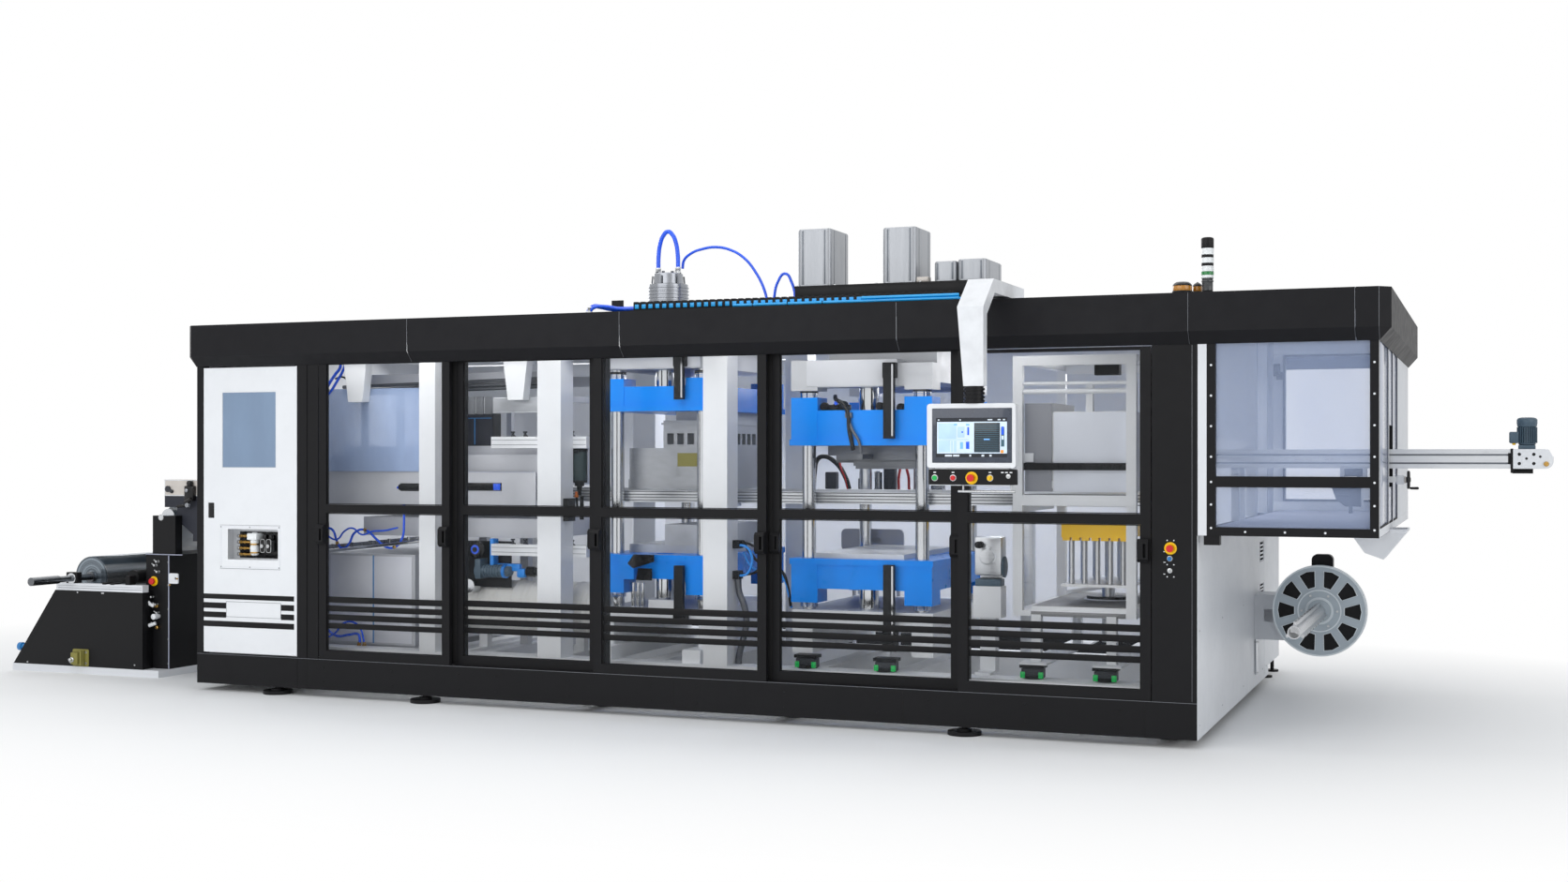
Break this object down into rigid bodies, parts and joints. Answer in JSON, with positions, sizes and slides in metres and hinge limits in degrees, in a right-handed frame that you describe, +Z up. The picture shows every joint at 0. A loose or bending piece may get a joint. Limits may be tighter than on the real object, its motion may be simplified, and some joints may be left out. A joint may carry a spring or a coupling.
{
  "type": "thermoforming machine",
  "caption": "Roll-fed thermoforming line: film unwinder, guarded enclosure with heating, forming and cutting presses, stacker, discharge cabin with conveyor, and scrap winder.",
  "frame": {"origin": "on the floor, in the middle of the four anchored feet of the main enclosure", "axes": "+X along the line in the direction the film travels, +Y from the guard doors to the rear, +Z up"},
  "size_m": [10.23, 4.248, 2.9717],
  "materials": {
    "aluminium_profile": "anodised",
    "azure_paint": "semi-gloss",
    "black_parts": "matt",
    "blue_hose": "gloss",
    "blue_plastic": "gloss",
    "brass_parts": "machined",
    "charcoal": "fine satin texture",
    "chrome_bars": "ground and plated",
    "clear_pane": "clear",
    "film": "gloss",
    "green_plastic": "gloss",
    "machined": "machined",
    "motor_paint": "satin",
    "oven_grey": "satin",
    "red_plastic": "gloss",
    "reel_paint": "satin",
    "tinted_pane": "light blue tint",
    "tool_steel": "machined",
    "white_paint": "satin",
    "yellow_paint": "semi-gloss",
    "yellow_plastic": "gloss"
  },
  "bodies": {
    "machine": {"base_plinth": "charcoal", "levelling_feet": "black_parts", "enclosure_frame": "charcoal", "header_covers": "charcoal", "enclosure_panels": "white_paint", "machine_frame": "white_paint", "chain_rails": "aluminium_profile", "ovens": "oven_grey", "form_crosshead": "machined", "cut_crosshead": "machined", "bright_bars": "chrome_bars", "stacker_frame": "white_paint", "drive_housings": "machined", "air_hoses": "blue_hose", "black_fittings": "black_parts", "panel_arm": "white_paint", "signal_lights": "black_parts", "cabin_glazing": "tinted_pane", "conveyor_beam": "aluminium_profile", "gear_motors": "motor_paint", "unwind_base": "white_paint", "unwind_cover": "black_parts", "film_web": "film", "infeed_guide": "black_parts"},
    "cabinet": {"cabinet_door": "charcoal", "cabinet_window": "clear_pane", "air_service_unit": "brass_parts"},
    "door_1": {"door_1_frame": "charcoal", "door_1_pane": "clear_pane"},
    "door_2": {"door_2_frame": "charcoal", "door_2_pane": "clear_pane"},
    "door_3": {"door_3_frame": "charcoal", "door_3_pane": "clear_pane"},
    "door_4": {"door_4_frame": "charcoal", "door_4_pane": "clear_pane"},
    "door_5": {"door_5_frame": "charcoal", "door_5_pane": "clear_pane"},
    "form_upper": {"form_upper_platen": "azure_paint", "form_tool": "tool_steel"},
    "form_lower": {"form_lower_platen": "azure_paint"},
    "cut_upper": {"cut_upper_platen": "azure_paint", "cut_tool": "tool_steel"},
    "cut_lower": {"cut_lower_platen": "azure_paint"},
    "lift": {"stack_gripper": "yellow_paint", "stacker_rods": "machined"},
    "panel": {"operator_panel": "white_paint"},
    "panel_stop_button": {"panel_stop": "red_plastic"},
    "start_button": {"panel_start": "green_plastic"},
    "reset_button": {"panel_reset": "red_plastic"},
    "panel_knob": {"panel_selector": "yellow_plastic"},
    "column_stop_button": {"column_stop": "red_plastic"},
    "column_knob": {"column_selector": "blue_plastic"},
    "unwinder_stop_button": {"unwind_stop": "red_plastic"},
    "pulley": {"conveyor_pulley": "brass_parts"},
    "crank_wheel": {"handwheel": "black_parts"},
    "winder": {"scrap_reel": "reel_paint", "reel_shaft": "machined"},
    "unwind": {"unwind_shaft": "machined", "film_roll": "film"},
    "roller": {"guide_roller": "chrome_bars"}
  },
  "joints": [
    {"name": "cabinet_hinge", "type": "hinge", "parent": "machine", "child": "cabinet", "pos_m": [-2.192, -1.531, 1.2], "axis": [0, 0, 1], "range_deg": [0, 110]},
    {"name": "door_1_slide", "type": "slide", "parent": "machine", "child": "door_1", "axis": [1, 0, 0], "range_m": [0, 0.87]},
    {"name": "door_2_slide", "type": "slide", "parent": "machine", "child": "door_2", "axis": [-1, 0, 0], "range_m": [0, 0.87]},
    {"name": "door_3_slide", "type": "slide", "parent": "machine", "child": "door_3", "axis": [1, 0, 0], "range_m": [0, 1]},
    {"name": "door_4_slide", "type": "slide", "parent": "machine", "child": "door_4", "axis": [-1, 0, 0], "range_m": [0, 1]},
    {"name": "door_5_hinge", "type": "hinge", "parent": "machine", "child": "door_5", "pos_m": [2.226, -1.535, 1.2], "axis": [0, 0, -1], "range_deg": [0, 32]},
    {"name": "form_press_upper", "type": "slide", "parent": "machine", "child": "form_upper", "axis": [0, 0, -1], "range_m": [0, 0.11]},
    {"name": "form_press_lower", "type": "slide", "parent": "machine", "child": "form_lower", "axis": [0, 0, 1], "range_m": [0, 0.105]},
    {"name": "cut_press_upper", "type": "slide", "parent": "machine", "child": "cut_upper", "axis": [0, 0, -1], "range_m": [0, 0.11]},
    {"name": "cut_press_lower", "type": "slide", "parent": "machine", "child": "cut_lower", "axis": [0, 0, 1], "range_m": [0, 0.22]},
    {"name": "stack_lift", "type": "slide", "parent": "machine", "child": "lift", "axis": [0, 0, 1], "range_m": [0, 0.14]},
    {"name": "panel_swivel", "type": "hinge", "parent": "machine", "child": "panel", "pos_m": [2.4455, -1.984, 1.86], "axis": [0, 0, 1], "range_deg": [-20, 20]},
    {"name": "panel_stop_push", "type": "slide", "parent": "panel", "child": "panel_stop_button", "axis": [0, 1, 0], "range_m": [0, 0.005]},
    {"name": "start_push", "type": "slide", "parent": "panel", "child": "start_button", "axis": [0, 1, 0], "range_m": [0, 0.003], "stiffness_N_per_m": 600, "springref_m": -0.002},
    {"name": "reset_push", "type": "slide", "parent": "panel", "child": "reset_button", "axis": [0, 1, 0], "range_m": [0, 0.003], "stiffness_N_per_m": 600, "springref_m": -0.002},
    {"name": "panel_knob_turn", "type": "hinge", "parent": "panel", "child": "panel_knob", "pos_m": [2.539, -2.014, 1.429], "axis": [0, 1, 0], "range_deg": [-45, 45]},
    {"name": "column_stop_push", "type": "slide", "parent": "machine", "child": "column_stop_button", "axis": [0, 1, 0], "range_m": [0, 0.005]},
    {"name": "column_knob_turn", "type": "hinge", "parent": "machine", "child": "column_knob", "pos_m": [3.386, -1.54, 1.002], "axis": [0, 1, 0], "range_deg": [-45, 45]},
    {"name": "unwinder_stop_push", "type": "slide", "parent": "machine", "child": "unwinder_stop_button", "axis": [0, 1, 0], "range_m": [0, 0.005]},
    {"name": "conveyor_drive", "type": "hinge", "parent": "machine", "child": "pulley", "pos_m": [5.234, -0.49, 1.501], "axis": [0, 1, 0], "continuous": true},
    {"name": "handwheel_turn", "type": "hinge", "parent": "machine", "child": "crank_wheel", "pos_m": [4.528, -0.621, 1.412], "axis": [1, 0, 0], "continuous": true},
    {"name": "winder_turn", "type": "hinge", "parent": "machine", "child": "winder", "pos_m": [3.947, 0.66, 0.566], "axis": [0, 1, 0], "continuous": true},
    {"name": "unwind_turn", "type": "hinge", "parent": "machine", "child": "unwind", "pos_m": [-4.425, -0.49, 0.672], "axis": [0, 1, 0], "continuous": true},
    {"name": "roller_turn", "type": "hinge", "parent": "machine", "child": "roller", "pos_m": [-3.718, -0.49, 1.112], "axis": [0, 1, 0], "continuous": true}
  ],
  "couplings": [
    {"joint": "form_press_lower", "follows": "form_press_upper", "ratio": 0.95454},
    {"joint": "cut_press_lower", "follows": "cut_press_upper", "ratio": 2}
  ]
}
